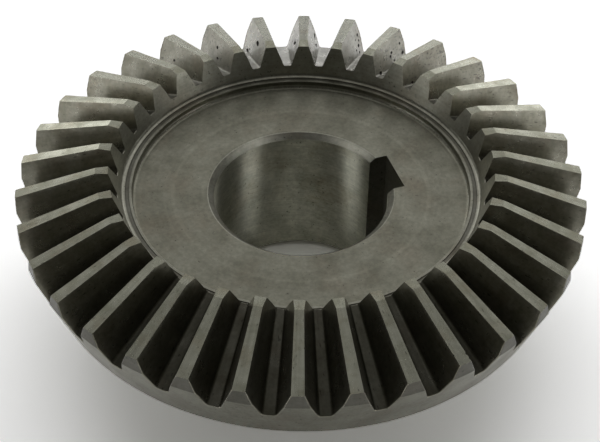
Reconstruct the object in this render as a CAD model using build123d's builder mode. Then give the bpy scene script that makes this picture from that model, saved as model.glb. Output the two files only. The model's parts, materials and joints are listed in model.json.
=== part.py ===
from build123d import *
from math import acos, atan, cos, pi, radians, sin, tan
import os

# Straight bevel gear with a plain rear hub and a keyed bore, turned and cut from one steel blank.
#
# Units are millimetres. The origin is the centre of the rear hub face, the face that locates the gear
# along its shaft. +Z is the gear axis and points from the hub towards the pitch apex, so the toothed
# side looks up. +X passes through the middle of the keyway.
#
# The whole gear is laid out from its cones. Pitch, face and root cones share one apex. The back cone
# (large end, or heel, of the teeth) and the front cone (small end, or toe) are square to the pitch cone.

# ---- Tooth system ----
teeth = 34
pinion_teeth = 13               # mating pinion; the shafts cross at 90 degrees
pressure_angle = 20.0
face_width = 24.4               # along the pitch cone
addendum_modules = 1.0
dedendum_modules = 1.25
backlash = 0.25                 # taken off the tooth thickness on the pitch circle
root_fillet = 0.8               # at the heel; it shrinks with the tooth towards the toe
tooth_phase = -3.8              # from the keyway to the nearest tooth, seen from the apex side

# ---- Turned blank ----
outside_diameter = 136.3        # short cylindrical band round the tips at the heel
crown_trim = 1.28               # radius that this band takes off the sharp crown
toe_height = 46.75              # overall height: the tips are faced off flat at the toe
toe_trim = 0.85                 # height that this facing takes off the sharp toe
back_face_height = 22.7         # underside of the rim
rim_ring_height = 39.4          # narrow flat ring between the teeth and the recess
rim_ring_width = 1.7
recess_draft = 20.0             # slope of the recess wall, from the axis
recess_corner_chamfer = 0.5     # foot of the recess wall
rim_edge_break = 0.4            # lower edge of the back cone

# ---- Hub, bore and keyway ----
bore_diameter = 42.0
bore_length = 37.5              # rear hub face to front hub face
bore_chamfer = 1.5              # measured across the face
bore_chamfer_angle = 40.0       # from the face
hub_diameter = 72.0
hub_chamfer = 1.0
hub_corner_chamfer = 1.5        # between the hub and the back of the rim
keyway_width = 12.0
keyway_depth = 3.5              # beyond the bore radius, on the centre line

# ---- Cones: the sharp crown gives the module, and the sharp toe gives the height of the apex ----
pitch_angle = atan(teeth / pinion_teeth)
crown_radius = outside_diameter / 2 + crown_trim
module = crown_radius / (teeth / 2 + addendum_modules * cos(pitch_angle))
addendum = addendum_modules * module
dedendum = dedendum_modules * module
pitch_radius = module * teeth / 2
cone_distance = pitch_radius / sin(pitch_angle)
face_angle = pitch_angle + atan(addendum / cone_distance)
toe_scale = 1 - face_width / cone_distance
apex_height = toe_height + toe_trim + toe_scale * crown_radius / tan(face_angle)
pitch_height = apex_height - pitch_radius / tan(pitch_angle)

# Each tooth is the tooth of a much larger spur gear, rolled up on the back cone.
virtual_radius = pitch_radius / cos(pitch_angle)
base_radius = virtual_radius * cos(radians(pressure_angle))
half_pitch = module * pi / 2 / virtual_radius
clear_of_tips = 1.6             # the cutter's section ends this many addendums above the pitch cone


def height_on_cone(radius, angle):
    """Height of the cone through the pitch apex, of half angle `angle`, at a radius."""
    return apex_height - radius / tan(angle)


def radius_on_cone(height, angle):
    """Radius of the cone through the pitch apex, of half angle `angle`, at a height."""
    return (apex_height - height) * tan(angle)


def radius_on_end_cone(height, scale):
    """Radius of the back cone (scale 1), or of its copy shrunk towards the apex, at a height."""
    end_height = apex_height - scale * (apex_height - pitch_height)
    return scale * pitch_radius + (height - end_height) / tan(pitch_angle)


def involute(radius):
    """Involute roll angle, in radians, of the base circle at a radius."""
    pressure = acos(min(base_radius / radius, 1.0))
    return tan(pressure) - pressure


def space_half_angle(radius):
    """Half the angle of the space between two teeth of the spur gear, at a radius."""
    tooth_half = (pi * module / 2 - backlash) / 2 / virtual_radius
    return half_pitch - tooth_half - involute(virtual_radius) + involute(radius)


def flank_point(radius, side, scale):
    """Point of a flank in the plane of a section, measured from the pitch point."""
    angle = space_half_angle(radius)
    return (side * scale * radius * sin(angle), scale * (radius * cos(angle) - virtual_radius))


def draw_tooth_space(scale):
    """Section of one tooth space, square to the pitch cone and shrunk by `scale` to the apex."""
    root_radius = virtual_radius - dedendum
    open_radius = virtual_radius + clear_of_tips * addendum
    steps = [root_radius + (open_radius - root_radius) * step / 6 for step in range(7)]
    centre = (scale * pitch_radius, 0, apex_height - scale * (apex_height - pitch_height))
    square_to_cone = Plane(
        origin=centre, x_dir=(0, 1, 0), z_dir=(sin(pitch_angle), 0, -cos(pitch_angle))
    )
    with BuildSketch(square_to_cone) as section:
        with BuildLine():
            left = Spline([flank_point(radius, -1, scale) for radius in steps])
            right = Spline([flank_point(radius, 1, scale) for radius in steps])
            Line(left @ 0, right @ 0)
            Line(left @ 1, right @ 1)
        make_face()
        root_corners = section.vertices().group_by(Axis.Y)[0]
        fillet(root_corners, root_fillet * scale)
    return section.sketch


# ---- Tooth space: one solid that narrows towards the apex and runs past both ends of the teeth ----
overrun = 1.5 * module / cone_distance

with BuildPart() as tooth_space:
    loft([draw_tooth_space(scale) for scale in (1 + overrun, toe_scale - overrun)], ruled=True)

# ---- Half section of the turned blank, as (radius, height), anticlockwise from the bore ----
bore_radius = bore_diameter / 2
bore_chamfer_depth = bore_chamfer * tan(radians(bore_chamfer_angle))
hub_radius = hub_diameter / 2
outside_radius = outside_diameter / 2
band_foot = pitch_height + (outside_radius - pitch_radius) * tan(pitch_angle)
rim_ring_radius = radius_on_end_cone(rim_ring_height, toe_scale)
recess_radius = rim_ring_radius - rim_ring_width
recess_foot_radius = recess_radius - (rim_ring_height - bore_length) * tan(radians(recess_draft))

hub_corner = (hub_radius, back_face_height)
rim_corner = (radius_on_end_cone(back_face_height, 1), back_face_height)
recess_corner = (recess_foot_radius, bore_length)
outline = [
    (bore_radius + bore_chamfer, 0),
    (hub_radius - hub_chamfer, 0),
    (hub_radius, hub_chamfer),
    hub_corner,
    rim_corner,
    (outside_radius, band_foot),
    (outside_radius, height_on_cone(outside_radius, face_angle)),
    (radius_on_cone(toe_height, face_angle), toe_height),
    (radius_on_end_cone(toe_height, toe_scale), toe_height),
    (rim_ring_radius, rim_ring_height),
    (recess_radius, rim_ring_height),
    recess_corner,
    (bore_radius + bore_chamfer, bore_length),
    (bore_radius, bore_length - bore_chamfer_depth),
    (bore_radius, bore_chamfer_depth),
]

with BuildPart() as bevel_gear:
    with BuildSketch(Plane.XZ) as half_section:
        with BuildLine():
            Polyline(outline, close=True)
        make_face()
        for corner, length in (
            (hub_corner, hub_corner_chamfer),
            (recess_corner, recess_corner_chamfer),
            (rim_corner, rim_edge_break),
        ):
            chamfer(half_section.vertices().sort_by_distance(corner)[0], length)
    revolve(axis=Axis.Z)

    # The first space lies half a pitch on from the tooth beside the keyway.
    with PolarLocations(0, teeth, start_angle=tooth_phase + 180 / teeth):
        add(tooth_space.part, mode=Mode.SUBTRACT)

    # Keyway, broached right through the bore.
    with BuildSketch():
        Rectangle(bore_radius + keyway_depth, keyway_width, align=(Align.MIN, Align.CENTER))
    extrude(amount=bore_length, mode=Mode.SUBTRACT)

bevel_gear.part.label = "bevel_gear"
os.makedirs("parts", exist_ok=True)
export_step(bevel_gear.part, "parts/bevel_gear.step")

print(f"module {module:.3f} mm, mounting distance {apex_height:.2f} mm")
print(f"volume {bevel_gear.part.volume:.0f} mm3")
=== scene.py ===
import json
import logging
from dataclasses import dataclass
from enum import Enum
from math import acos, atan, atan2, cos, hypot, pi, radians, sin, tan
from typing import Any, Optional

import bmesh
import bpy
from mathutils import Matrix, Vector


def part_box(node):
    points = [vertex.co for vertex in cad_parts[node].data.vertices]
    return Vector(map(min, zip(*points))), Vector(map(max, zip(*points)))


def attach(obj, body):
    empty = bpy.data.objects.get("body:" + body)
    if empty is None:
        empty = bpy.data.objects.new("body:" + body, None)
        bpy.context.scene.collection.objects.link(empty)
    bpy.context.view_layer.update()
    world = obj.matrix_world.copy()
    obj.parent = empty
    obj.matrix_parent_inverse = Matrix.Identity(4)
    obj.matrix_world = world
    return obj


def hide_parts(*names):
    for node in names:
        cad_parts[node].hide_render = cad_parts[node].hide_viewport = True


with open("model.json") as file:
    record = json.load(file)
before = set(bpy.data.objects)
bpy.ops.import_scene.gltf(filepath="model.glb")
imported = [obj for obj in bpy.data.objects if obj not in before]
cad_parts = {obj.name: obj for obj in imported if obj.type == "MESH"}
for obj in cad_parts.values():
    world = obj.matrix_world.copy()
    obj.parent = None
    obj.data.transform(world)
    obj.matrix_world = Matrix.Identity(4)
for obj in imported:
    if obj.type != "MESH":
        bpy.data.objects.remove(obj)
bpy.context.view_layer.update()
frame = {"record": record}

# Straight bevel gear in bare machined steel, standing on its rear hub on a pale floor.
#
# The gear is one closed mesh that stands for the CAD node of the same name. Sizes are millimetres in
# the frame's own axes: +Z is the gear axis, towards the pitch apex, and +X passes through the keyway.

LOG = logging.getLogger("bevel_gear")
MM = 0.001  # one millimetre in metres
NODE = "bevel_gear"
Point = tuple[float, float]
Span = tuple[float, float]
BMesh = bmesh.types.BMesh
Tree = bpy.types.NodeTree
Socket = bpy.types.NodeSocket


# ---- Small helpers ----


def linear(hex_colour: str) -> tuple[float, float, float, float]:
    """Turn an sRGB hex colour into the linear RGBA that shaders take.

    Args:
        hex_colour: Colour as "#rrggbb".

    Returns:
        Linear red, green and blue, with an alpha of 1.
    """
    parts = [int(hex_colour[i:i + 2], 16) / 255 for i in (1, 3, 5)]
    red, green, blue = (c / 12.92 if c <= 0.04045 else ((c + 0.055) / 1.055) ** 2.4 for c in parts)
    return (red, green, blue, 1.0)


def add_node(tree: Tree, kind: str, inputs: Optional[dict] = None, **settings: Any) -> bpy.types.Node:
    """Add a shader node with its settings, values and links.

    Args:
        tree: Node tree that gets the node.
        kind: Node type, such as "ShaderNodeMath".
        inputs: Value or output socket for each input, by name or index.
        settings: Attributes of the node itself.

    Returns:
        The new node.
    """
    node = tree.nodes.new(kind)
    for name, value in settings.items():
        setattr(node, name, value)
    for key, value in (inputs or {}).items():
        if isinstance(value, Socket):
            tree.links.new(value, node.inputs[key])
        else:
            node.inputs[key].default_value = value
    return node


def empty_tree(owner: bpy.types.Material | bpy.types.World) -> Tree:
    """Give a material or a world a node tree with nothing in it.

    Args:
        owner: The material or world.

    Returns:
        Its node tree.
    """
    owner.use_nodes = True
    owner.node_tree.nodes.clear()
    return owner.node_tree


def add_object(name: str, data: bpy.types.ID) -> bpy.types.Object:
    """Make an object and link it into the scene.

    Args:
        name: Name of the object.
        data: Its mesh, light or camera.

    Returns:
        The object, at the origin.
    """
    made = bpy.data.objects.new(name, data)
    bpy.context.scene.collection.objects.link(made)
    return made


def direction(azimuth: float, elevation: float) -> Vector:
    """Unit vector that points to an azimuth and an elevation, both in degrees."""
    turn, rise = radians(azimuth), radians(elevation)
    return Vector((cos(turn) * cos(rise), sin(turn) * cos(rise), sin(rise)))


# ---- Geometry of the gear ----


class Region(Enum):
    """Surfaces of the gear, each left by its own cut."""

    ROOT = 0
    FLANK = 1
    TIP_LAND = 2
    HEEL_BAND = 3
    BACK_CONE = 4
    RIM_BACK = 5
    HUB_WALL = 6
    REAR_FACE = 7
    BORE_CHAMFER = 8
    BORE = 9
    HUB_FACE = 10
    RECESS_WALL = 11
    RING = 12
    FRONT_CONE = 13
    TOE_FLAT = 14
    KEYWAY = 15
    RING_GROOVE = 16
    PIT = 17
    RUBBED_EDGE = 18


@dataclass(frozen=True)
class BevelCones:
    """Cones and tooth form of a straight bevel gear, in millimetres.

    All tooth surfaces are made of straight lines through the pitch apex, so a point of the tooth form is
    a ray from the apex.
    """

    outside_radius: float
    toe_height: float
    teeth: int = 34
    pinion_teeth: int = 13
    pressure_angle: float = radians(20)
    face_width: float = 24.4
    dedendum_modules: float = 1.25
    backlash: float = 0.25
    crown_trim: float = 1.28
    toe_trim: float = 0.85

    @property
    def pitch_angle(self) -> float:
        """Half angle of the pitch cone."""
        return atan(self.teeth / self.pinion_teeth)

    @property
    def module(self) -> float:
        """Module at the heel, which is also the addendum."""
        return (self.outside_radius + self.crown_trim) / (self.teeth / 2 + cos(self.pitch_angle))

    @property
    def pitch_radius(self) -> float:
        """Radius of the pitch circle at the heel."""
        return self.module * self.teeth / 2

    @property
    def cone_distance(self) -> float:
        """Distance from the pitch apex to the pitch circle."""
        return self.pitch_radius / sin(self.pitch_angle)

    @property
    def face_angle(self) -> float:
        """Half angle of the cone that the tips lie on."""
        return self.pitch_angle + atan(self.module / self.cone_distance)

    @property
    def root_angle(self) -> float:
        """Half angle of the cone that the roots lie on."""
        return self.pitch_angle - atan(self.dedendum_modules * self.module / self.cone_distance)

    @property
    def toe_scale(self) -> float:
        """Size of a tooth's section at the toe, as a share of that at the heel."""
        return 1 - self.face_width / self.cone_distance

    @property
    def apex_height(self) -> float:
        """Height of the pitch apex above the rear hub face."""
        crown_radius = self.outside_radius + self.crown_trim
        return self.toe_height + self.toe_trim + self.toe_scale * crown_radius / tan(self.face_angle)

    @property
    def pitch_height(self) -> float:
        """Height of the pitch circle above the rear hub face."""
        return self.apex_height - self.pitch_radius / tan(self.pitch_angle)

    @property
    def half_pitch(self) -> float:
        """Half the angle from one tooth to the next."""
        return pi / self.teeth

    @property
    def virtual_radius(self) -> float:
        """Pitch radius of the spur gear that the back cone unrolls to."""
        return self.pitch_radius / cos(self.pitch_angle)

    def end_cone_radius(self, height: float, scale: float = 1.0) -> float:
        """Radius of the back cone, or of its copy shrunk to the apex, at a height."""
        end_height = self.apex_height - scale * (self.apex_height - self.pitch_height)
        return scale * self.pitch_radius + (height - end_height) / tan(self.pitch_angle)

    def end_cone_height(self, radius: float, scale: float = 1.0) -> float:
        """Height of the back cone, or of its copy shrunk to the apex, at a radius."""
        end_height = self.apex_height - scale * (self.apex_height - self.pitch_height)
        return end_height + (radius - scale * self.pitch_radius) * tan(self.pitch_angle)

    def ray(self, across: float, up: float) -> Vector:
        """Ray from the apex through a point of the section square to the pitch cone.

        Args:
            across: Distance from the middle of the tooth space.
            up: Distance above the pitch cone.

        Returns:
            The vector from the apex to that point.
        """
        return Vector((
            self.pitch_radius + up * cos(self.pitch_angle),
            across,
            self.pitch_height + up * sin(self.pitch_angle) - self.apex_height,
        ))

    def space_half_angle(self, radius: float) -> float:
        """Half the angle of a tooth space of the virtual spur gear.

        Args:
            radius: Radius on the virtual gear.

        Returns:
            The angle from the middle of the space to its involute flank.
        """
        base_radius = self.virtual_radius * cos(self.pressure_angle)
        pressure = acos(min(base_radius / radius, 1.0))
        tooth_half = (pi * self.module / 2 - self.backlash) / 2 / self.virtual_radius
        space_half = pi * self.module / 2 / self.virtual_radius - tooth_half
        pitch_involute = tan(self.pressure_angle) - self.pressure_angle
        return space_half - pitch_involute + tan(pressure) - pressure

    def flank_point(self, radius: float) -> Point:
        """Point of a flank in the section square to the pitch cone, as (across, up)."""
        angle = self.space_half_angle(radius)
        return (radius * sin(angle), radius * cos(angle) - self.virtual_radius)

    def flank_ray(self, cone_angle: float) -> Vector:
        """Ray of the flank that lies on a cone about the gear axis, found by halving.

        Args:
            cone_angle: Half angle of that cone, whose tip is the pitch apex.

        Returns:
            The vector from the apex to the flank.
        """
        low = self.virtual_radius - self.dedendum_modules * self.module
        high = self.virtual_radius + 2 * self.module
        halvings = 40
        for _ in range(halvings):
            middle = (low + high) / 2
            ray = self.ray(*self.flank_point(middle))
            if atan(hypot(ray.x, ray.y) / -ray.z) < cone_angle:
                low = middle
            else:
                high = middle
        return ray

    def reach(self, ray: Vector) -> tuple[float, float]:
        """Find where the blank's toe and heel cut a ray.

        Args:
            ray: Ray of the tooth form.

        Returns:
            The two cuts, as multiples of the ray.
        """
        radius, fall = hypot(ray.x, ray.y), -ray.z
        slope = tan(self.pitch_angle)
        back = self.apex_height - self.pitch_height + self.pitch_radius * slope
        to_cone = back / (radius * slope + fall)
        toe = max(self.toe_scale * to_cone, (self.apex_height - self.toe_height) / fall)
        return toe, min(to_cone, self.outside_radius / radius)


@dataclass(frozen=True)
class Blank:
    """Turned surfaces of the gear beside its teeth, in millimetres.

    The rim has two lands with a groove between them: `land_overhang` is how far the inner land reaches in
    past the recess wall, and `groove` holds (distance out from there, depth) across the groove.
    """

    bore_radius: float
    bore_wall_length: float
    front_face_height: float
    back_face_height: float = 22.7
    rim_ring_height: float = 39.4
    rim_ring_width: float = 1.7
    land_overhang: float = 0.68
    groove: tuple[Point, ...] = ((-0.03, 0.0), (0.07, 0.2), (0.83, 0.2), (0.93, 0.0))
    recess_draft: float = radians(20)
    bore_chamfer: float = 1.5
    hub_radius: float = 36.0
    keyway_width: float = 12.0
    keyway_depth: float = 3.5


@dataclass(frozen=True)
class EdgeBreak:
    """Rounding of the edges between two kinds of surface. Handling has rubbed the outer ones bright."""

    first: Region
    second: Region
    width: float = 0.2
    segments: int = 2
    rubbed: bool = True


class Facing(Enum):
    """Which neighbour a flank faces."""

    ONWARD = 1
    BACK = -1


@dataclass(frozen=True)
class Pit:
    """Rust pit or knock in a flank.

    The shares `along` and `up` run from 0 at the toe or root to 1 at the heel or tip. A pit is `width`
    millimetres wide, and `stretch` times longer than wide.
    """

    along: float
    up: float
    width: float
    stretch: float = 1.0


# The larger pits and knocks, by tooth and flank; the smaller ones are in the planed finish.
PITS = {
    (4, Facing.BACK): (Pit(0.20, 0.10, 0.80, 1.6),),
    (5, Facing.BACK): (
        Pit(0.84, 0.64, 0.75, 1.7), Pit(0.89, 0.34, 0.90, 2.0), Pit(0.55, 0.53, 0.70, 2.2),
        Pit(0.51, 0.43, 0.80, 1.7), Pit(0.62, 0.24, 0.60, 1.7), Pit(0.16, 0.05, 0.90, 2.2),
    ),
    (6, Facing.BACK): (
        Pit(0.84, 0.62, 0.90, 2.2), Pit(0.84, 0.45, 0.70, 1.8), Pit(0.79, 0.32, 0.95, 2.2),
        Pit(0.78, 0.11, 0.75, 1.8), Pit(0.65, 0.25, 0.60, 2.3), Pit(0.70, 0.55, 0.45, 1.8),
        Pit(0.90, 0.52, 0.50, 1.8),
    ),
    (7, Facing.ONWARD): (
        Pit(0.37, 0.60, 1.10, 3.1), Pit(0.42, 0.52, 0.65, 2.4), Pit(0.30, 0.66, 0.55, 2.4),
        Pit(0.55, 0.75, 0.45, 2.0), Pit(0.62, 0.42, 0.50, 2.0), Pit(0.78, 0.66, 0.45, 2.0),
        Pit(0.25, 0.45, 0.45, 2.0),
    ),
    (7, Facing.BACK): (
        Pit(0.79, 0.50, 1.20, 3.1), Pit(0.74, 0.44, 0.70, 2.4), Pit(0.70, 0.24, 0.85, 3.4),
        Pit(0.60, 0.33, 0.65, 2.4), Pit(0.86, 0.68, 0.50, 2.0), Pit(0.52, 0.58, 0.45, 2.0),
        Pit(0.45, 0.72, 0.40, 2.0),
    ),
    (8, Facing.ONWARD): (
        Pit(0.38, 0.64, 1.30, 2.6), Pit(0.75, 0.12, 0.95, 3.3), Pit(0.66, 0.22, 0.60, 2.2),
    ),
    (8, Facing.BACK): (Pit(0.70, 0.45, 0.70, 2.2),),
    (9, Facing.ONWARD): (Pit(0.50, 0.63, 0.85, 1.7), Pit(0.44, 0.30, 0.70, 2.4)),
    (10, Facing.ONWARD): (Pit(0.65, 0.48, 0.70, 1.6),),
    (21, Facing.BACK): (Pit(0.99, 0.93, 0.70),),
    (24, Facing.ONWARD): (Pit(0.45, 1.0, 0.35),),
    (27, Facing.ONWARD): (Pit(0.90, 1.0, 0.70), Pit(0.96, 0.97, 0.90)),
    (27, Facing.BACK): (Pit(0.86, 1.0, 0.45),),
}


@dataclass(frozen=True)
class GearMesh:
    """Builds the gear: half a tooth space column by column, then mirrored and repeated round the axis.

    Sizes are millimetres. A step count divides one surface, the rows are the shares at which a section
    crosses a wide turned surface, and a margin is how far below the roots the row under the teeth lies.
    Points closer than `merge` become one. `broach_overrun` is the broach's length over the gear's, and
    `normal_weight` says how far the larger of two faces sets the normal at their edge.
    """

    cones: BevelCones
    blank: Blank
    tooth_phase: float = radians(-3.8)
    lengthwise_steps: int = 4
    fillet_radius: float = 0.8
    fillet_steps: int = 4
    flank_angles: int = 5
    tip_land_steps: int = 2
    heel_margin: float = 1.0
    toe_margin: float = 0.7
    rim_back_rows: tuple[float, ...] = (1.0, 0.55)
    hub_wall_rows: tuple[float, ...] = (1.0, 0.5)
    hub_face_rows: tuple[float, ...] = (0.0, 0.33, 0.67)
    bore_steps: int = 5
    merge: float = 0.0005
    sharp_angle: float = radians(17)
    pit_depth_share: float = 0.35
    broach_overrun: float = 1.4
    normal_weight: int = 80
    edge_breaks: tuple[EdgeBreak, ...] = (
        EdgeBreak(Region.FLANK, Region.TIP_LAND),
        EdgeBreak(Region.FLANK, Region.HEEL_BAND, rubbed=False),
        EdgeBreak(Region.FLANK, Region.BACK_CONE, rubbed=False),
        EdgeBreak(Region.ROOT, Region.BACK_CONE, rubbed=False),
        EdgeBreak(Region.TIP_LAND, Region.HEEL_BAND),
        EdgeBreak(Region.FLANK, Region.FRONT_CONE),
        EdgeBreak(Region.FLANK, Region.TOE_FLAT),
        EdgeBreak(Region.ROOT, Region.FRONT_CONE, rubbed=False),
        EdgeBreak(Region.TIP_LAND, Region.TOE_FLAT),
        EdgeBreak(Region.TOE_FLAT, Region.FRONT_CONE),
    )
    turned_breaks: tuple[EdgeBreak, ...] = (
        EdgeBreak(Region.RING, Region.FRONT_CONE, 0.7, 4, rubbed=False),
        EdgeBreak(Region.RECESS_WALL, Region.RING, 0.15),
        EdgeBreak(Region.HUB_FACE, Region.RECESS_WALL, 0.8, 3, rubbed=False),
        EdgeBreak(Region.BORE_CHAMFER, Region.HUB_FACE, 0.15),
        EdgeBreak(Region.BORE, Region.BORE_CHAMFER, 0.12),
        EdgeBreak(Region.BORE_CHAMFER, Region.REAR_FACE, 0.15),
        EdgeBreak(Region.REAR_FACE, Region.HUB_WALL, 0.8, rubbed=False),
        EdgeBreak(Region.RIM_BACK, Region.HUB_WALL, 2.0, 4, rubbed=False),
        EdgeBreak(Region.RIM_BACK, Region.BACK_CONE, 0.35),
    )

    def tooth_rays(self) -> list[tuple[Vector, Region]]:
        """Rays of half a tooth form, from the middle of a space to the middle of the next tooth.

        Returns:
            Each ray with the surface that follows it.
        """
        cones = self.cones
        root_radius = cones.virtual_radius - cones.dedendum_modules * cones.module
        corner = cones.flank_point(root_radius)
        # The fillet turns from the root into the flank, whose lean is taken over a short rise.
        rise = 0.5
        lean = atan2(cones.flank_point(root_radius + rise)[0] - corner[0], rise)
        turn = pi / 2 - lean
        reach = self.fillet_radius * tan(turn / 2)
        rays = [(cones.ray(share * (corner[0] - reach), corner[1]), Region.ROOT) for share in (0.0, 0.5)]
        for step in range(self.fillet_steps):
            angle = turn * step / self.fillet_steps
            across = corner[0] - reach + self.fillet_radius * sin(angle)
            up = corner[1] + self.fillet_radius * (1 - cos(angle))
            rays.append((cones.ray(across, up), Region.FLANK))

        band_foot = cones.end_cone_height(cones.outside_radius)
        crease_radius = cones.end_cone_radius(cones.toe_height, cones.toe_scale)
        band_angle = atan(cones.outside_radius / (cones.apex_height - band_foot))
        crease_angle = atan(crease_radius / (cones.apex_height - cones.toe_height))
        end = cones.ray(*cones.flank_point(root_radius + self.fillet_radius * (1 - cos(turn))))
        low_angle = atan(hypot(end.x, end.y) / -end.z)
        for step in range(self.flank_angles):
            angle = low_angle + (band_angle - low_angle) * step / (self.flank_angles - 1)
            rays.append((cones.flank_ray(angle), Region.FLANK))
        rays.append((cones.flank_ray(crease_angle), Region.FLANK))

        tip = cones.flank_ray(cones.face_angle)
        tip_azimuth = atan2(tip.y, tip.x)
        for step in range(self.tip_land_steps + 1):
            azimuth = tip_azimuth + (cones.half_pitch - tip_azimuth) * step / self.tip_land_steps
            radius = hypot(tip.x, tip.y)
            rays.append((Vector((radius * cos(azimuth), radius * sin(azimuth), tip.z)), Region.TIP_LAND))
        return rays

    def section(self, ray: Vector) -> list[tuple[float, float, Region]]:
        """Closed half section of the gear in the plane of one ray, from the toe along the tooth.

        Args:
            ray: Ray of the tooth form in that plane.

        Returns:
            Points as (radius, height, surface that follows).
        """
        cones, blank = self.cones, self.blank
        radius, fall = hypot(ray.x, ray.y), -ray.z
        toe, heel = cones.reach(ray)
        points = []
        for step in range(self.lengthwise_steps + 1):
            reach = toe + (heel - toe) * step / self.lengthwise_steps
            points.append((reach * radius, cones.apex_height - reach * fall, Region.FLANK))
        points[-1] = (*points[-1][:2], Region.HEEL_BAND)
        heel_height = points[-1][1]
        toe_radius, toe_height = points[0][:2]

        band_foot = min(cones.end_cone_height(cones.outside_radius), heel_height)
        root = cones.ray(0, -cones.dedendum_modules * cones.module)
        below_heel = cones.apex_height + root.z - self.heel_margin
        below_toe = cones.apex_height + cones.toe_scale * root.z - self.toe_margin
        points.append((cones.end_cone_radius(band_foot), band_foot, Region.BACK_CONE))
        points.append((cones.end_cone_radius(below_heel), below_heel, Region.BACK_CONE))
        rim_radius = cones.end_cone_radius(blank.back_face_height)
        for share in self.rim_back_rows:
            rim_back_radius = blank.hub_radius + share * (rim_radius - blank.hub_radius)
            points.append((rim_back_radius, blank.back_face_height, Region.RIM_BACK))
        for share in self.hub_wall_rows:
            points.append((blank.hub_radius, share * blank.back_face_height, Region.HUB_WALL))
        points.append((blank.hub_radius, 0.0, Region.REAR_FACE))
        mouth_radius = blank.bore_radius + blank.bore_chamfer
        points.append(((mouth_radius + blank.hub_radius) / 2, 0.0, Region.REAR_FACE))
        points.append((mouth_radius, 0.0, Region.BORE_CHAMFER))
        wall_foot = (blank.front_face_height - blank.bore_wall_length) / 2
        for step in range(self.bore_steps + 1):
            height = wall_foot + blank.bore_wall_length * step / self.bore_steps
            points.append((blank.bore_radius, height, Region.BORE))
        points[-1] = (*points[-1][:2], Region.BORE_CHAMFER)

        front = blank.front_face_height
        ring_radius = cones.end_cone_radius(blank.rim_ring_height, cones.toe_scale)
        recess_radius = ring_radius - blank.rim_ring_width
        foot_radius = recess_radius - (blank.rim_ring_height - front) * tan(blank.recess_draft)
        for share in self.hub_face_rows:
            points.append((mouth_radius + share * (foot_radius - mouth_radius), front, Region.HUB_FACE))
        points.append((foot_radius, front, Region.RECESS_WALL))
        ring = blank.rim_ring_height
        points.append((recess_radius - blank.land_overhang, ring, Region.RING))
        for offset, depth in blank.groove:
            points.append((recess_radius + offset, ring - depth, Region.RING_GROOVE))
        points[-1] = (*points[-1][:2], Region.RING)
        points.append((ring_radius, ring, Region.FRONT_CONE))
        points.append((cones.end_cone_radius(below_toe, cones.toe_scale), below_toe, Region.FRONT_CONE))
        crease_height = min(cones.toe_height, toe_height)
        crease_radius = min(cones.end_cone_radius(crease_height, cones.toe_scale), toe_radius)
        points.append((crease_radius, crease_height, Region.TOE_FLAT))
        return points

    def half_space(self) -> BMesh:
        """Build the sector from the middle of a tooth space to the middle of a tooth.

        Returns:
            The sector as an open mesh, with each face's region in its layer "region".
        """
        bm = bmesh.new()
        row_layer = bm.verts.layers.int.new("row")
        region_layer = bm.faces.layers.int.new("region")
        rays = self.tooth_rays()
        sections = [self.section(ray) for ray, _ in rays]
        rows = len(sections[0])
        first = []
        for row, (radius, height, _) in enumerate(sections[0]):
            vertex = bm.verts.new((radius, 0.0, height))
            vertex[row_layer] = row
            first.append(vertex)
        edges = [bm.edges.new((first[row], first[(row + 1) % rows])) for row in range(rows)]
        for column in range(1, len(rays)):
            ray = rays[column][0]
            azimuth = atan2(ray.y, ray.x)
            grown = bmesh.ops.extrude_edge_only(bm, edges=edges)["geom"]
            verts = [item for item in grown if isinstance(item, bmesh.types.BMVert)]
            fresh = set(verts)
            edges = [
                item for item in grown
                if isinstance(item, bmesh.types.BMEdge) and set(item.verts) <= fresh
            ]
            for vertex in verts:
                radius, height, _ = sections[column][vertex[row_layer]]
                vertex.co = (radius * cos(azimuth), radius * sin(azimuth), height)
            for face in (item for item in grown if isinstance(item, bmesh.types.BMFace)):
                # A face belongs to its first row, and the one between the last row and row 0 to the last.
                face_rows = sorted({vertex[row_layer] for vertex in face.verts})
                row = face_rows[0] if face_rows[-1] - face_rows[0] == 1 else face_rows[-1]
                region = sections[column][row][2]
                if row < self.lengthwise_steps:
                    region = rays[column - 1][1]
                face[region_layer] = region.value
        return bm

    def full_ring(self) -> BMesh:
        """Mirror the half space, repeat it for every tooth and close the ring.

        Returns:
            The gear without its keyway, with plain sharp edges.
        """
        bm = self.half_space()
        bmesh.ops.remove_doubles(bm, verts=bm.verts, dist=self.merge)
        bmesh.ops.mirror(bm, geom=bm.verts[:] + bm.edges[:] + bm.faces[:], axis="Y", merge_dist=self.merge)
        teeth = self.cones.teeth
        bmesh.ops.spin(
            bm, geom=bm.verts[:] + bm.edges[:] + bm.faces[:], cent=(0, 0, 0), axis=(0, 0, 1),
            angle=2 * pi * (teeth - 1) / teeth, steps=teeth - 1, use_duplicate=True,
        )
        bmesh.ops.remove_doubles(bm, verts=bm.verts, dist=self.merge)
        bmesh.ops.dissolve_degenerate(bm, edges=bm.edges, dist=self.merge / 10)
        turn = Matrix.Rotation(self.tooth_phase + self.cones.half_pitch, 4, "Z")
        bmesh.ops.transform(bm, matrix=turn, verts=bm.verts)
        bmesh.ops.recalc_face_normals(bm, faces=bm.faces)
        return bm

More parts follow.
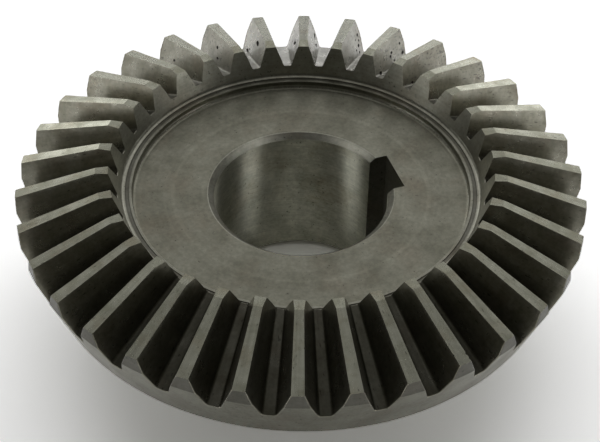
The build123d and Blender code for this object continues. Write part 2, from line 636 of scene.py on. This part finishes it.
    def break_edges(self, bm: BMesh, breaks: tuple[EdgeBreak, ...]) -> None:
        """Round the edges between the given pairs of surfaces.

        Args:
            bm: Gear mesh.
            breaks: Pairs of surfaces with their widths.
        """
        region_layer = bm.faces.layers.int["region"]
        alike: dict[tuple[float, int, bool], set[frozenset[int]]] = {}
        for item in breaks:
            pair = frozenset((item.first.value, item.second.value))
            alike.setdefault((item.width, item.segments, item.rubbed), set()).add(pair)
        for width, segments, rubbed in sorted(alike):
            pairs = alike[width, segments, rubbed]
            chosen = [
                edge for edge in bm.edges
                if len(edge.link_faces) == 2
                and frozenset(face[region_layer] for face in edge.link_faces) in pairs
            ]
            rounded = bmesh.ops.bevel(
                bm, geom=chosen, offset=width, offset_type="OFFSET", segments=segments, profile=0.5,
                affect="EDGES", material=-1, clamp_overlap=True,
            )
            if rubbed:
                for face in rounded["faces"]:
                    face[region_layer] = Region.RUBBED_EDGE.value

    def mark_sharp(self, bm: BMesh) -> None:
        """Mark the edges that stay crisp, before any is rounded.

        Args:
            bm: Gear mesh.
        """
        for face in bm.faces:
            face.smooth = True
        for edge in bm.edges:
            edge.smooth = edge.calc_face_angle(0.0) < self.sharp_angle

    def add_keyway(self, bm: BMesh) -> None:
        """Add the broach's solid, which runs past both faces of the gear.

        Args:
            bm: Mesh of the cutter.
        """
        blank = self.blank
        length = blank.front_face_height * self.broach_overrun
        depth = blank.bore_radius + blank.keyway_depth
        centre = Matrix.Translation((depth / 2, 0, blank.front_face_height / 2))
        size = Matrix.Diagonal((depth, blank.keyway_width, length, 1.0))
        bmesh.ops.create_cube(bm, size=1.0, matrix=centre @ size)

    def add_pit(self, bm: BMesh, tooth: int, facing: Facing, pit: Pit) -> None:
        """Add the ball that cuts one pit, sunk a share of its width into the flank.

        Args:
            bm: Mesh of the cutter.
            tooth: Number of the tooth, counted from the one beside the keyway.
            facing: Which of its flanks has the pit.
            pit: The pit's place and size.
        """
        cones = self.cones
        angle = cones.root_angle + pit.up * (cones.face_angle - cones.root_angle)
        ray = cones.flank_ray(angle)
        toe, heel = cones.reach(ray)
        lengthwise = ray.normalized()
        small_step = 0.01
        upwards = (cones.flank_ray(angle + small_step) - ray).normalized()
        outwards = lengthwise.cross(upwards).normalized()
        if outwards.y > 0:
            outwards = -outwards
        depth = self.pit_depth_share * pit.width
        ball = ((pit.width / 2) ** 2 + depth ** 2) / (2 * depth)
        surface = Vector((0, 0, cones.apex_height)) + ray * (toe + pit.along * (heel - toe))
        centre = surface + outwards * (ball - depth)
        axes = Matrix((lengthwise * pit.stretch * ball, lengthwise.cross(outwards) * ball, outwards * ball))
        place = Matrix.Translation(centre) @ axes.transposed().to_4x4()
        if facing is Facing.ONWARD:
            place = Matrix.Diagonal((1, -1, 1, 1)) @ place
        tooth_azimuth = self.tooth_phase + 2 * tooth * cones.half_pitch
        turn = Matrix.Rotation(tooth_azimuth + facing.value * cones.half_pitch, 4, "Z")
        bmesh.ops.create_icosphere(bm, subdivisions=2, radius=1.0, matrix=turn @ place)

    def cutter(self) -> bpy.types.Object:
        """Make the broach and the pits as one object to cut with.

        Returns:
            The cutter, with each face's region in its layer "region".
        """
        bm = bmesh.new()
        region_layer = bm.faces.layers.int.new("region")
        self.add_keyway(bm)
        for face in bm.faces:
            face[region_layer] = Region.KEYWAY.value
        for (tooth, facing), pits in PITS.items():
            for pit in pits:
                self.add_pit(bm, tooth, facing, pit)
        for face in bm.faces:
            if face[region_layer] != Region.KEYWAY.value:
                face[region_layer] = Region.PIT.value
                face.smooth = True
        bmesh.ops.recalc_face_normals(bm, faces=bm.faces)
        bmesh.ops.scale(bm, vec=(MM, MM, MM), verts=bm.verts)
        return self.to_object(bm, "cutter")

    @staticmethod
    def to_object(bm: BMesh, name: str) -> bpy.types.Object:
        """Turn a bmesh into an object of the scene, and free it.

        Args:
            bm: The mesh.
            name: Name of the new object.

        Returns:
            The object, at the origin.
        """
        mesh = bpy.data.meshes.new(name)
        bm.to_mesh(mesh)
        bm.free()
        return add_object(name, mesh)

    def build(self) -> bpy.types.Object:
        """Build the whole gear as one object.

        Returns:
            The object, at the origin and unscaled, in metres.
        """
        bm = self.full_ring()
        LOG.info("ring: %d faces", len(bm.faces))
        self.mark_sharp(bm)
        self.break_edges(bm, self.edge_breaks)
        self.break_edges(bm, self.turned_breaks)
        bmesh.ops.scale(bm, vec=(MM, MM, MM), verts=bm.verts)
        gear = self.to_object(bm, "gear_body")
        cutter = self.cutter()
        cut = gear.modifiers.new("broach_and_pits", "BOOLEAN")
        cut.operation = "DIFFERENCE"
        cut.solver = "EXACT"
        cut.use_self = True
        cut.object = cutter
        self.apply_modifiers(gear)
        bpy.data.objects.remove(cutter)
        self.dress(gear)
        weighted = gear.modifiers.new("weighted_normals", "WEIGHTED_NORMAL")
        weighted.keep_sharp = True
        weighted.weight = self.normal_weight
        self.apply_modifiers(gear)
        return gear

    @staticmethod
    def apply_modifiers(gear: bpy.types.Object) -> None:
        """Turn the result of the modifiers into the mesh itself.

        Args:
            gear: Object with its modifiers.
        """
        graph = bpy.context.evaluated_depsgraph_get()
        gear.data = bpy.data.meshes.new_from_object(gear.evaluated_get(graph))
        gear.modifiers.clear()
        gear.data.name = gear.name

    def dress(self, gear: bpy.types.Object) -> None:
        """Give each surface its finish, and keep the keyway's corners and the rims of the pits crisp.

        Args:
            gear: Gear after the cut, with each face's region in its layer "region".
        """
        finishes = list(dict.fromkeys(REGION_FINISH.values()))
        for finish in finishes:
            gear.data.materials.append(finish.build(self.cones))
        bm = bmesh.new()
        bm.from_mesh(gear.data)
        region_layer = bm.faces.layers.int["region"]
        for face in bm.faces:
            face.material_index = finishes.index(REGION_FINISH[Region(face[region_layer])])
        for edge in bm.edges:
            regions = {Region(face[region_layer]) for face in edge.link_faces}
            corner = Region.KEYWAY in regions and edge.calc_face_angle(0.0) > self.sharp_angle
            if corner or (Region.PIT in regions and len(regions) > 1):
                edge.smooth = False
        bm.to_mesh(gear.data)
        bm.free()


# ---- Finishes ----


# Direction of the side that the gear lay on in the damp, where rust specks are thickest.
DAMP_SIDE = (0.5, 0.87, 0.0)

# Noise seldom leaves this span, which a pattern stretches over its own whole range.
NOISE_SPAN = (0.3, 0.7)


class Marks(Enum):
    """How the tool marks of a surface run."""

    TURNED = "rings about the gear axis"
    PLANED = "straight strokes towards the pitch apex"


@dataclass(frozen=True)
class SteelFinish:
    """Bare carbon steel as one cut left it, in millimetres and sRGB hex colours.

    `tone` is the clean steel, `stain` its darker patches and `tint` the brown film of old oil. The real
    tool marks are 0.1 to 0.2 mm apart, too fine to show, so `mark_spacing` draws them a few times coarser.
    A contrast is how far a pattern lightens and darkens the steel, a drift is how much of the place itself
    goes into a pattern that otherwise runs with the cut, and each span is the stretch of its pattern over
    which the effect comes or goes. The grain is the mottling that handling leaves, and `film` is how much
    of the metal's mirroring oil or rust takes away.
    """

    name: str
    tone: str
    stain: str
    tint: str
    roughness: float
    marks: Marks
    mark_spacing: float
    mark_depth: float
    mark_contrast: float = 0.08
    mark_drift: float = 0.01
    anisotropy: float = 0.0
    roughness_drop: float = 0.05
    roughness_rise: float = 0.06
    noise_roughness: float = 0.62
    stain_size: float = 9.0
    stain_span: Span = (0.38, 0.66)
    tint_share: float = 0.5
    tint_span: Span = (0.5, 0.72)
    tint_scale: float = 1.6
    tint_offset: tuple[float, float, float] = (57.0, 23.0, 41.0)
    grain_size: float = 0.9
    grain_contrast: float = 0.13
    grain_depth: float = 0.006
    # Painted shade: the factor that darkens the flanks at the root, where little light reaches.
    painted_root_shade: float = 1.0
    witness_ring: float = 0.0
    witness_span: Span = (0.15, 0.75)
    witness_gain: float = 1.10
    speck_limit: float = 0.32
    speck_edge: float = 0.08
    speck_shade: float = 0.45
    speck_size: float = 0.7
    speck_drift: float = 0.5
    damp_specks: float = 0.0
    damp_span: Span = (40.0, 56.0)
    film: float = 0.0

    def build(self, cones: BevelCones) -> bpy.types.Material:
        """Make the material.

        Args:
            cones: Cones of the gear, for the apex that planed strokes run to.

        Returns:
            The material, on Object coordinates.
        """
        material = bpy.data.materials.new(self.name)
        tree = empty_tree(material)
        place = add_node(tree, "ShaderNodeTexCoord").outputs["Object"]
        in_mm = add_node(tree, "ShaderNodeVectorMath", {0: place, 3: 1 / MM}, operation="SCALE").outputs[0]
        marks = self.mark_pattern(tree, in_mm, cones)
        grain, patches = (
            add_node(tree, "ShaderNodeTexNoise", {
                "Vector": in_mm, "Scale": 1 / size, "Detail": detail, "Roughness": self.noise_roughness,
            }).outputs[0]
            for size, detail in ((self.grain_size, 3.0), (self.stain_size, 5.0))
        )
        colour = self.colour_pattern(tree, in_mm, patches)
        light = self.shade_pattern(tree, in_mm, grain, marks, cones)
        final = add_node(tree, "ShaderNodeVectorMath", {0: colour, 3: light}, operation="SCALE").outputs[0]
        low, high = self.roughness - self.roughness_drop, self.roughness + self.roughness_rise
        sheen = dict(enumerate((patches, *NOISE_SPAN, low, high)))
        rough = add_node(tree, "ShaderNodeMapRange", sheen).outputs[0]
        bump = {"Height": marks, "Strength": 1.0, "Distance": self.mark_depth * MM}
        relief = add_node(tree, "ShaderNodeBump", bump).outputs[0]
        bump = {"Height": grain, "Strength": 1.0, "Distance": self.grain_depth * MM, "Normal": relief}
        relief = add_node(tree, "ShaderNodeBump", bump).outputs[0]
        steel = {
            "Base Color": final, "Metallic": 1 - self.film, "Roughness": rough, "Normal": relief,
            "Anisotropic": self.anisotropy,
        }
        if self.anisotropy:
            # A quarter turn from the way round the axis stretches highlights across the rings.
            up = (0.0, 0.0, 1.0)
            around = add_node(tree, "ShaderNodeVectorMath", {0: up, 1: place}, operation="CROSS_PRODUCT")
            steel |= {"Tangent": around.outputs[0], "Anisotropic Rotation": 0.25}
        shader = add_node(tree, "ShaderNodeBsdfPrincipled", steel)
        add_node(tree, "ShaderNodeOutputMaterial", {"Surface": shader.outputs[0]})
        return material

    def colour_pattern(self, tree: Tree, in_mm: Socket, patches: Socket) -> Socket:
        """Clean steel, its darker stains, and the brown film that old oil leaves.

        Args:
            tree: Node tree of the material.
            in_mm: Object coordinates in millimetres.
            patches: Pattern of the stains.

        Returns:
            The colour.
        """
        aside = add_node(tree, "ShaderNodeVectorMath", {0: in_mm, 1: self.tint_offset}).outputs[0]
        clouds = add_node(tree, "ShaderNodeTexNoise", {
            "Vector": aside, "Scale": 1 / (self.tint_scale * self.stain_size), "Detail": 4.0,
            "Roughness": self.noise_roughness,
        }).outputs[0]
        colour = linear(self.tone)
        for pattern, span, share, coat in (
            (patches, self.stain_span, 1.0, self.stain),
            (clouds, self.tint_span, self.tint_share, self.tint),
        ):
            cover = dict(enumerate((pattern, *span, 0.0, share)))
            amount = add_node(tree, "ShaderNodeMapRange", cover).outputs[0]
            layers = {0: amount, 6: colour, 7: linear(coat)}
            colour = add_node(tree, "ShaderNodeMix", layers, data_type="RGBA").outputs[2]
        return colour

    def shade_pattern(
        self, tree: Tree, in_mm: Socket, grain: Socket, marks: Socket, cones: BevelCones
    ) -> Socket:
        """How much lighter or darker the steel is in its grain, tool marks, specks and painted shade at the
        roots.

        Args:
            tree: Node tree of the material.
            in_mm: Object coordinates in millimetres.
            grain: Pattern of the grain.
            marks: Pattern of the tool marks.
            cones: Cones of the gear, for the depth below the tips.

        Returns:
            The factor.
        """
        specks = self.speck_pattern(tree, in_mm, cones)
        shades = [
            (grain, *NOISE_SPAN, 1 - self.grain_contrast, 1 + self.grain_contrast),
            (marks, *NOISE_SPAN, 1 - self.mark_contrast, 1 + self.mark_contrast),
            (specks, self.speck_limit - self.speck_edge, self.speck_limit, self.speck_shade, 1.0),
        ]
        # Painted shade, darkest at the root cone and gone halfway up to the tip cone.
        if self.painted_root_shade < 1.0:
            ray = self.apex_ray(tree, in_mm, cones)
            depth = add_node(tree, "ShaderNodeSeparateXYZ", {0: ray}).outputs[2]
            root, tip = -cos(cones.root_angle), -cos(cones.face_angle)
            shades.append((depth, root, (root + tip) / 2, self.painted_root_shade, 1.0))
        if self.witness_ring:
            past = {0: self.cylinder(tree, in_mm)[0], 1: self.witness_ring}
            offset = add_node(tree, "ShaderNodeMath", past, operation="SUBTRACT").outputs[0]
            distance = add_node(tree, "ShaderNodeMath", {0: offset}, operation="ABSOLUTE").outputs[0]
            shades.append((distance, *self.witness_span, self.witness_gain, 1.0))
        total = 1.0
        for shade in shades:
            factor = add_node(tree, "ShaderNodeMapRange", dict(enumerate(shade))).outputs[0]
            total = add_node(tree, "ShaderNodeMath", {0: total, 1: factor}, operation="MULTIPLY").outputs[0]
        return total

    def speck_pattern(self, tree: Tree, in_mm: Socket, cones: BevelCones) -> Socket:
        """Pattern that is low in the rust specks, which are drawn out along a planed stroke.

        Args:
            tree: Node tree of the material.
            in_mm: Object coordinates in millimetres.
            cones: Cones of the gear, for the apex.

        Returns:
            The pattern's output.
        """
        spot = in_mm
        if self.marks is Marks.PLANED:
            drift = {0: in_mm, 3: self.speck_drift}
            short = add_node(tree, "ShaderNodeVectorMath", drift, operation="SCALE").outputs[0]
            drawn_out = {0: self.apex_ray(tree, in_mm, cones), 1: (cones.apex_height,) * 3, 2: short}
            spot = add_node(tree, "ShaderNodeVectorMath", drawn_out, operation="MULTIPLY_ADD").outputs[0]
        specks = add_node(tree, "ShaderNodeTexNoise", {
            "Vector": spot, "Scale": 1 / self.speck_size, "Detail": 1.0, "Roughness": self.noise_roughness,
        }).outputs[0]
        if self.damp_specks:
            side = add_node(tree, "ShaderNodeVectorMath", {0: in_mm, 1: DAMP_SIDE}, operation="DOT_PRODUCT")
            reach = dict(enumerate((side.outputs["Value"], *self.damp_span, 0.0, self.damp_specks)))
            damp = add_node(tree, "ShaderNodeMapRange", reach).outputs[0]
            specks = add_node(tree, "ShaderNodeMath", {0: specks, 1: damp}, operation="SUBTRACT").outputs[0]
        return specks

    @staticmethod
    def cylinder(tree: Tree, in_mm: Socket) -> tuple[Socket, Socket]:
        """Distance from the gear axis, and height.

        Args:
            tree: Node tree of the material.
            in_mm: Object coordinates in millimetres.

        Returns:
            The two outputs.
        """
        level = {0: in_mm, 1: (1, 1, 0)}
        flat = add_node(tree, "ShaderNodeVectorMath", level, operation="MULTIPLY").outputs[0]
        radius = add_node(tree, "ShaderNodeVectorMath", {0: flat}, operation="LENGTH").outputs["Value"]
        return radius, add_node(tree, "ShaderNodeSeparateXYZ", {0: in_mm}).outputs[2]

    @staticmethod
    def apex_ray(tree: Tree, in_mm: Socket, cones: BevelCones) -> Socket:
        """Direction from the pitch apex, which stays the same along a tooth.

        Args:
            tree: Node tree of the material.
            in_mm: Object coordinates in millimetres.
            cones: Cones of the gear, for the apex.

        Returns:
            The direction's output.
        """
        apex = {0: in_mm, 1: (0, 0, cones.apex_height)}
        from_apex = add_node(tree, "ShaderNodeVectorMath", apex, operation="SUBTRACT").outputs[0]
        return add_node(tree, "ShaderNodeVectorMath", {0: from_apex}, operation="NORMALIZE").outputs[0]

    def mark_pattern(self, tree: Tree, in_mm: Socket, cones: BevelCones) -> Socket:
        """Lines that the tool left, as a height from 0 to 1.

        Args:
            tree: Node tree of the material.
            in_mm: Object coordinates in millimetres.
            cones: Cones of the gear, for the apex.

        Returns:
            The pattern's output.
        """
        place = {0: in_mm, 3: self.mark_drift}
        drift = add_node(tree, "ShaderNodeVectorMath", place, operation="SCALE").outputs[0]
        if self.marks is Marks.TURNED:
            radius, height = self.cylinder(tree, in_mm)
            along = add_node(tree, "ShaderNodeMath", {0: radius, 1: height}, operation="ADD").outputs[0]
            lines = add_node(tree, "ShaderNodeCombineXYZ", {0: along}).outputs[0]
        else:
            across = {0: self.apex_ray(tree, in_mm, cones), 3: cones.apex_height}
            lines = add_node(tree, "ShaderNodeVectorMath", across, operation="SCALE").outputs[0]
        spot = add_node(tree, "ShaderNodeVectorMath", {0: lines, 1: drift}, operation="ADD").outputs[0]
        return add_node(tree, "ShaderNodeTexNoise", {
            "Vector": spot, "Scale": 1 / self.mark_spacing, "Detail": 3.0, "Roughness": self.noise_roughness,
        }).outputs[0]


# Each finish starts with its name, tone, stain, tint, roughness, marks, mark spacing and mark depth.

# Faced on the lathe with a fine feed, then handled and oiled: dull, clouded, with hardly visible rings
# and one brighter witness ring.
FACED = SteelFinish(
    "faced_steel", "#979688", "#858476", "#857c6c", 0.42, Marks.TURNED, 0.8, 0.006,
    mark_contrast=0.05, anisotropy=0.2, stain_size=8.0, witness_ring=30.8, speck_limit=0.28,
)
# Turned cones and shoulders: brighter than the faces, with rings a little deeper.
TURNED = SteelFinish("turned_steel", "#a8a79a", "#949386", "#8a8272", 0.34, Marks.TURNED, 0.7, 0.010)
# Back cone below the heels of the teeth, a little duller than the cuts inside the rim.
BACKED = SteelFinish("back_cone_steel", "#908f83", "#7f7e72", "#777063", 0.34, Marks.TURNED, 0.7, 0.010)
# Bottom of the groove between the rim's two lands, painted darker as the shade in the groove.
GROOVE_SHADED = SteelFinish("groove_shade_steel", "#7a7970", "#6c6a60", "#6b6353", 0.40, Marks.TURNED, 0.5, 0.012)
# Outside of the rim at the heel, dulled by handling.
RIMMED = SteelFinish("rim_steel", "#616059", "#55544d", "#565147", 0.36, Marks.TURNED, 0.6, 0.010)
# Flanks and roots as the tooth planer left them: strokes along the tooth, a thin film of old oil and rust
# specks, with painted shade that darkens them towards the root.
PLANED = SteelFinish(
    "planed_steel", "#969487", "#7d7b6c", "#6f6352", 0.30, Marks.PLANED, 0.9, 0.005,
    mark_contrast=0.10, mark_drift=0.03, stain_size=5.0, tint_share=0.45, grain_depth=0.003,
    painted_root_shade=0.75, speck_limit=0.325, speck_size=0.8, damp_specks=0.09, film=0.15,
)
# Tip lands and toe flats: the turned blank, rubbed bright, with light scratches along the tooth.
TIPPED = SteelFinish(
    "tip_steel", "#b0b0a1", "#9c9c8b", "#978d76", 0.26, Marks.PLANED, 0.7, 0.003,
    mark_contrast=0.12, mark_drift=0.03, stain_size=4.0, grain_contrast=0.05, grain_depth=0.001,
)
# Reamed bore: smooth along the cut, rough across it, so that light stands in it in upright bands.
BORED = SteelFinish(
    "bored_steel", "#c2c2b3", "#a9a99a", "#968a6e", 0.42, Marks.TURNED, 0.5, 0.004,
    mark_contrast=0.12, mark_drift=0.12, anisotropy=1.0, stain_size=7.0,
)
# Chamfer at the bore's mouth, cut last and hardly handled.
CHAMFERED = SteelFinish("chamfered_steel", "#949388", "#848378", "#7a725f", 0.50, Marks.TURNED, 0.5, 0.008)
# Keyway as the broach left it, dull and dark with dried oil.
BROACHED = SteelFinish("broached_steel", "#85847a", "#75736a", "#685e50", 0.42, Marks.TURNED, 0.8, 0.008)
# Old rust in the pits, almost black.
RUSTED = SteelFinish("pit_scale", "#3a352d", "#2f2a24", "#33271c", 0.70, Marks.TURNED, 0.4, 0.020, film=1.0)
# Outer edges, stoned off and rubbed light by handling.
RUBBED = SteelFinish(
    "rubbed_edge_steel", "#bab9ac", "#a3a294", "#968c76", 0.50, Marks.PLANED, 0.7, 0.004, film=0.2,
)

REGION_FINISH = {
    Region.ROOT: PLANED,
    Region.FLANK: PLANED,
    Region.TIP_LAND: TIPPED,
    Region.HEEL_BAND: RIMMED,
    Region.BACK_CONE: BACKED,
    Region.RIM_BACK: TURNED,
    Region.HUB_WALL: TURNED,
    Region.REAR_FACE: FACED,
    Region.BORE_CHAMFER: CHAMFERED,
    Region.BORE: BORED,
    Region.HUB_FACE: FACED,
    Region.RECESS_WALL: TURNED,
    Region.RING: TURNED,
    Region.RING_GROOVE: GROOVE_SHADED,
    Region.FRONT_CONE: TURNED,
    Region.TOE_FLAT: TIPPED,
    Region.KEYWAY: BROACHED,
    Region.PIT: RUSTED,
    Region.RUBBED_EDGE: RUBBED,
}


# ---- Studio ----


@dataclass(frozen=True)
class SoftBox:
    """Rectangular soft light, aimed at the gear. Angles are degrees about it, sizes metres."""

    name: str
    azimuth: float
    elevation: float
    distance: float
    width: float
    height: float
    radiance: float

    def build(self) -> None:
        """Add the lamp; its power gives the wanted radiance over its face."""
        data = bpy.data.lights.new(self.name, "AREA")
        data.shape = "RECTANGLE"
        data.size = self.width
        data.size_y = self.height
        data.energy = self.radiance * pi * self.width * self.height
        lamp = add_object(self.name, data)
        out = direction(self.azimuth, self.elevation)
        lamp.location = out * self.distance
        lamp.rotation_euler = out.to_track_quat("Z", "Y").to_euler()


@dataclass(frozen=True)
class BoreSpot:
    """Narrow lamp through a grid, which lights one upright band of the bore.

    Angles are degrees and sizes metres. `away` is the azimuth that the camera looks in, and `wall` says
    how far round from there the band is.
    """

    name: str
    away: float
    wall: float
    power: float = 3.3
    elevation: float = 40.0
    distance: float = 0.8
    beam: float = 1.9
    blend: float = 0.6
    lens_radius: float = 0.012
    bore_radius: float = 0.021
    aim_height: float = 0.032

    def build(self) -> None:
        """Add the lamp where the bore's wall mirrors it to the camera."""
        data = bpy.data.lights.new(self.name, "SPOT")
        data.energy = self.power
        data.spot_size = radians(self.beam)
        data.spot_blend = self.blend
        data.shadow_soft_size = self.lens_radius
        lamp = add_object(self.name, data)
        out = direction(self.away + 180 + 2 * self.wall, self.elevation)
        aim = direction(self.away + self.wall, 0.0) * self.bore_radius + Vector((0, 0, self.aim_height))
        lamp.location = aim + out * self.distance
        lamp.rotation_euler = out.to_track_quat("Z", "Y").to_euler()


@dataclass(frozen=True)
class Studio:
    """Camera, floor, lamps and world, in metres and degrees.

    Azimuths start at +X, and the camera's is `view`. It looks at about `target_height` above the floor, on
    the gear axis. The table's gains make it show white to the camera and in the steel.
    """

    view: float = -109.88
    camera_elevation: float = 41.31
    camera_distance: float = 0.3911
    camera_pitch: float = 42.69
    camera_yaw: float = 0.02
    camera_roll: float = 1.204
    target_height: float = 0.04055
    lens: float = 97.71
    floor_size: float = 6.0
    table_colour: str = "#e6e6e8"
    table_gain_seen: float = 5.5
    table_gain_mirrored: float = 4.8
    room_colour: str = "#f4f3e6"
    room_strength: float = 0.05

    def build_camera(self) -> None:
        """Place the camera that looks down on the teeth."""
        data = bpy.data.cameras.new("camera")
        data.lens = self.lens
        data.sensor_width = 36.0
        data.clip_start = 0.01
        camera = add_object("camera", data)
        out = direction(self.view, self.camera_elevation)
        turn = Matrix.Rotation(radians(self.view + 90 + self.camera_yaw), 4, "Z")
        pitch = Matrix.Rotation(pi / 2 - radians(self.camera_pitch), 4, "X")
        roll = Matrix.Rotation(radians(self.camera_roll), 4, "Z")
        place = Matrix.Translation(Vector((0, 0, self.target_height)) + out * self.camera_distance)
        camera.matrix_world = place @ turn @ pitch @ roll
        bpy.context.scene.camera = camera

    def build_floor(self) -> None:
        """Lay the pale table, which keeps the gear's shadow."""
        bm = bmesh.new()
        bmesh.ops.create_grid(bm, x_segments=1, y_segments=1, size=self.floor_size / 2)
        mesh = bpy.data.meshes.new("table")
        bm.to_mesh(mesh)
        bm.free()
        floor = add_object("table", mesh)
        material = bpy.data.materials.new("matt_white_table")
        tree = empty_tree(material)
        path = add_node(tree, "ShaderNodeLightPath")
        unscattered = add_node(
            tree, "ShaderNodeMath", {0: path.outputs["Diffuse Depth"], 1: 0.5}, operation="LESS_THAN"
        ).outputs[0]
        mirrored = add_node(
            tree, "ShaderNodeMath", {0: path.outputs["Is Glossy Ray"], 1: unscattered}, operation="MULTIPLY"
        ).outputs[0]
        steps = ((mirrored, self.table_gain_mirrored), (path.outputs["Is Camera Ray"], self.table_gain_seen))
        gain = 1.0
        for ray, strength in steps:
            inputs = {"Value": ray, "To Min": gain, "To Max": strength}
            gain = add_node(tree, "ShaderNodeMapRange", inputs).outputs[0]
        paint = add_node(
            tree, "ShaderNodeVectorMath", {0: linear(self.table_colour)[:3], 3: gain}, operation="SCALE"
        ).outputs[0]
        matt = add_node(tree, "ShaderNodeBsdfDiffuse", {"Color": paint})
        add_node(tree, "ShaderNodeOutputMaterial", {"Surface": matt.outputs[0]})
        mesh.materials.append(material)

    def build_world(self) -> None:
        """Give the room its dim, slightly warm grey."""
        world = bpy.data.worlds.new("room")
        bpy.context.scene.world = world
        tree = empty_tree(world)
        inputs = {"Color": linear(self.room_colour), "Strength": self.room_strength}
        room = add_node(tree, "ShaderNodeBackground", inputs)
        add_node(tree, "ShaderNodeOutputWorld", {"Surface": room.outputs[0]})

    @staticmethod
    def lamps(away: float) -> tuple[SoftBox | BoreSpot, ...]:
        """Softboxes behind and above the gear, low strips round its sides, and four spots for the bore.

        Args:
            away: Azimuth of the direction that the camera looks in.

        Returns:
            The lamps.
        """
        # A softbox has its azimuth, elevation, distance, width, height and radiance in this order.
        return (
            SoftBox("low_left", away + 24, 13, 1.3, 0.95, 0.46, 0.66),
            SoftBox("low_right", away - 24, 13, 1.3, 0.95, 0.46, 0.80),
            SoftBox("core_left", away + 29, 21, 1.28, 0.32, 0.26, 1.15),
            SoftBox("core_right", away - 21, 13, 1.28, 0.32, 0.26, 0.85),
            SoftBox("high_left", away + 24, 33, 1.3, 0.95, 0.46, 0.64),
            SoftBox("high_right", away - 24, 33, 1.3, 0.95, 0.46, 0.64),
            SoftBox("corner_strip_left", away + 68, 6, 1.4, 0.8, 0.24, 1.5),
            SoftBox("corner_strip_right", away - 68, 6, 1.4, 0.8, 0.24, 1.5),
            SoftBox("side_strip_left", away + 106, 6, 1.4, 0.62, 0.24, 3.1),
            SoftBox("side_strip_right", away - 106, 6, 1.4, 0.62, 0.24, 3.3),
            SoftBox("front_strip_left", away + 142, 5, 1.4, 0.62, 0.20, 0.24),
            SoftBox("front_strip_right", away - 142, 5, 1.4, 0.62, 0.20, 0.20),
            SoftBox("corner_high_left", away + 42, 52, 1.3, 0.7, 0.5, 0.38),
            SoftBox("corner_high_right", away - 42, 52, 1.3, 0.7, 0.5, 0.44),
            SoftBox("upper", away - 8, 54, 1.3, 0.6, 0.34, 0.52),
            SoftBox("overhead", away, 78, 1.3, 1.1, 0.9, 0.28),
            BoreSpot("bore_spot_left", away, -39),
            BoreSpot("bore_spot_left_inner", away, -33),
            BoreSpot("bore_spot_right", away, 39),
            BoreSpot("bore_spot_right_inner", away, 33),
        )

    def build(self) -> None:
        """Set the whole studio up."""
        self.build_camera()
        self.build_floor()
        self.build_world()
        lamps = self.lamps(self.view + 180)
        for lamp in lamps:
            lamp.build()
        bpy.context.scene.view_settings.view_transform = "Standard"
        LOG.info("studio: %d lamps", len(lamps))


def main() -> None:
    """Build the gear and the studio."""
    logging.basicConfig(level=logging.INFO, format="%(name)s: %(message)s")
    _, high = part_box(NODE)
    mounts = {mount["name"]: mount for mount in frame["record"]["mounts"]}
    bore = mounts["bore"]["dims"]
    cones = BevelCones(outside_radius=high[1] / MM, toe_height=high[2] / MM)
    blank = Blank(
        bore_radius=bore["r_mm"],
        bore_wall_length=bore["length_mm"],
        front_face_height=mounts["front_hub_face"]["pos_m"][2] / MM,
    )
    gear = GearMesh(cones, blank).build()
    LOG.info("%s: %d faces", gear.name, len(gear.data.polygons))
    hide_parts(NODE)
    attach(gear, "root")
    Studio().build()


if __name__ == "__main__":
    main()
